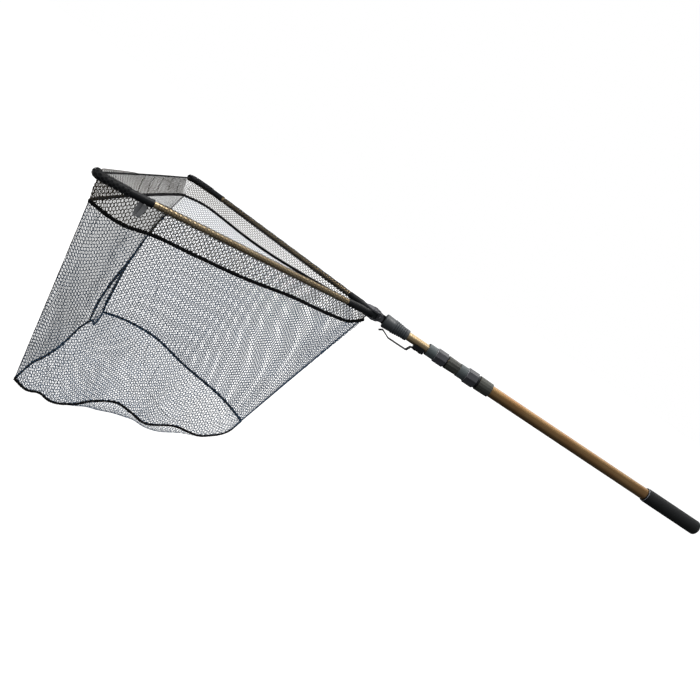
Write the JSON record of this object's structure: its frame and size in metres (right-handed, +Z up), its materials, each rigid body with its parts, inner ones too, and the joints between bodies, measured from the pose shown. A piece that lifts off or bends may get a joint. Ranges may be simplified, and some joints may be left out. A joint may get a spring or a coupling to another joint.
{
  "type": "landing net",
  "caption": "Folding landing net: telescopic twist-lock handle with rubber grip, V head with folding arms joined by a cord, deep mesh bag.",
  "frame": {"origin": "the middle of the hand grip, on the handle's axis", "axes": "+X along the handle to the butt and -X to the net's mouth, +Z up with the bag hanging below, +Y across the head"},
  "size_m": [1.1884, 0.5182, 0.3749],
  "materials": {
    "bronze_anodised": "anodised, satin with a lengthwise grain",
    "bronze_dark": "anodised, satin",
    "grey_plastic": "satin moulded",
    "blue_grey_plastic": "satin moulded",
    "olive_plastic": "satin moulded",
    "black_plastic": "satin moulded",
    "ribbed_grey": "fine grained",
    "light_ring": "satin",
    "white_plastic": "moulded acetal",
    "grip_rubber": "matt, fine grained",
    "spring_steel": "black",
    "bright_steel": "brushed",
    "cord": "braided",
    "netting": "knitted hexagonal mesh",
    "net_band": "knitted hexagonal mesh, doubled",
    "binding": "woven tape and gathered netting"
  },
  "bodies": {
    "lower_handle": {"main_tube": "bronze_dark", "butt_plug": "black_plastic", "rubber_grip": "grip_rubber", "grip_ring": "light_ring", "lower_lock_fitting": "olive_plastic", "lower_lock_neck": "black_plastic", "lower_collet": "white_plastic"},
    "lower_nut": {"lower_lock_cap": "blue_grey_plastic", "lower_lock_ring": "light_ring", "lower_lock_nut": "grey_plastic"},
    "middle_section": {"middle_tube": "bronze_anodised", "middle_bushing": "white_plastic", "middle_lock_fitting": "olive_plastic", "middle_lock_neck": "black_plastic", "upper_collet": "white_plastic"},
    "upper_nut": {"upper_lock_cap": "blue_grey_plastic", "upper_lock_ring": "light_ring", "upper_lock_nut": "grey_plastic"},
    "upper_section": {"upper_tube": "bronze_anodised", "upper_bushing": "white_plastic", "head_socket": "black_plastic", "spring_stop_ring": "bright_steel", "clip_saddle": "black_plastic", "clip_foot": "spring_steel", "clip_rivet_front": "bright_steel", "clip_rivet_rear": "bright_steel"},
    "lock_collar": {"ribbed_collar": "ribbed_grey", "collar_spring": "bright_steel"},
    "belt_clip": {"belt_clip": "spring_steel"},
    "head": {"head_block": "grey_plastic", "fold_pin": "bright_steel", "near_pivot_rivet": "bright_steel", "far_pivot_rivet": "bright_steel", "front_cord": "cord", "near_band": "net_band", "far_band": "net_band", "front_band": "net_band", "near_wall": "netting", "far_wall": "netting", "front_wall": "netting", "net_base": "netting", "band_seam": "binding", "base_seam": "binding", "near_corner_gather": "binding", "far_corner_gather": "binding", "net_tab": "binding"},
    "near_arm": {"near_arm_knuckle": "black_plastic", "near_arm_tube": "bronze_anodised", "near_tip_sleeve": "black_plastic", "near_net_sleeve": "net_band"},
    "far_arm": {"far_arm_knuckle": "black_plastic", "far_arm_tube": "bronze_anodised", "far_tip_sleeve": "black_plastic", "far_net_sleeve": "net_band"}
  },
  "joints": [
    {"name": "lower_nut_twist", "type": "hinge", "parent": "lower_handle", "child": "lower_nut", "pos_m": [-0.456, 0, 0], "axis": [1, 0, 0], "range_deg": [0, 120]},
    {"name": "middle_slide", "type": "slide", "parent": "lower_handle", "child": "middle_section", "axis": [-1, 0, 0], "range_m": [0, 0.36]},
    {"name": "upper_nut_twist", "type": "hinge", "parent": "middle_section", "child": "upper_nut", "pos_m": [-0.522, 0, 0], "axis": [1, 0, 0], "range_deg": [0, 120]},
    {"name": "upper_slide", "type": "slide", "parent": "middle_section", "child": "upper_section", "axis": [-1, 0, 0], "range_m": [0, 0.38]},
    {"name": "collar_slide", "type": "slide", "parent": "upper_section", "child": "lock_collar", "axis": [1, 0, 0], "range_m": [0, 0.014], "stiffness_N_per_m": 600, "springref_m": -0.008, "deforming": ["collar_spring"]},
    {"name": "clip_bend", "type": "hinge", "parent": "upper_section", "child": "belt_clip", "pos_m": [-0.5776, 0, -0.01345], "axis": [0, -1, 0], "range_deg": [0, 12], "stiffness_Nm_per_rad": 0.57, "springref_deg": -5.73},
    {"name": "head_fold", "type": "hinge", "parent": "upper_section", "child": "head", "pos_m": [-0.654, 0, 0], "axis": [0, 1, 0], "range_deg": [0, 90]},
    {"name": "near_arm_fold", "type": "hinge", "parent": "head", "child": "near_arm", "pos_m": [-0.66599, -0.012, -0.00038], "axis": [0.0314, 0, -0.9995], "range_deg": [0, 25]},
    {"name": "far_arm_fold", "type": "hinge", "parent": "head", "child": "far_arm", "pos_m": [-0.66599, 0.012, -0.00038], "axis": [-0.0314, 0, 0.9995], "range_deg": [0, 25], "deforming": ["front_cord"]}
  ],
  "couplings": [
    {"joint": "near_arm_fold", "follows": "far_arm_fold", "ratio": 1}
  ]
}
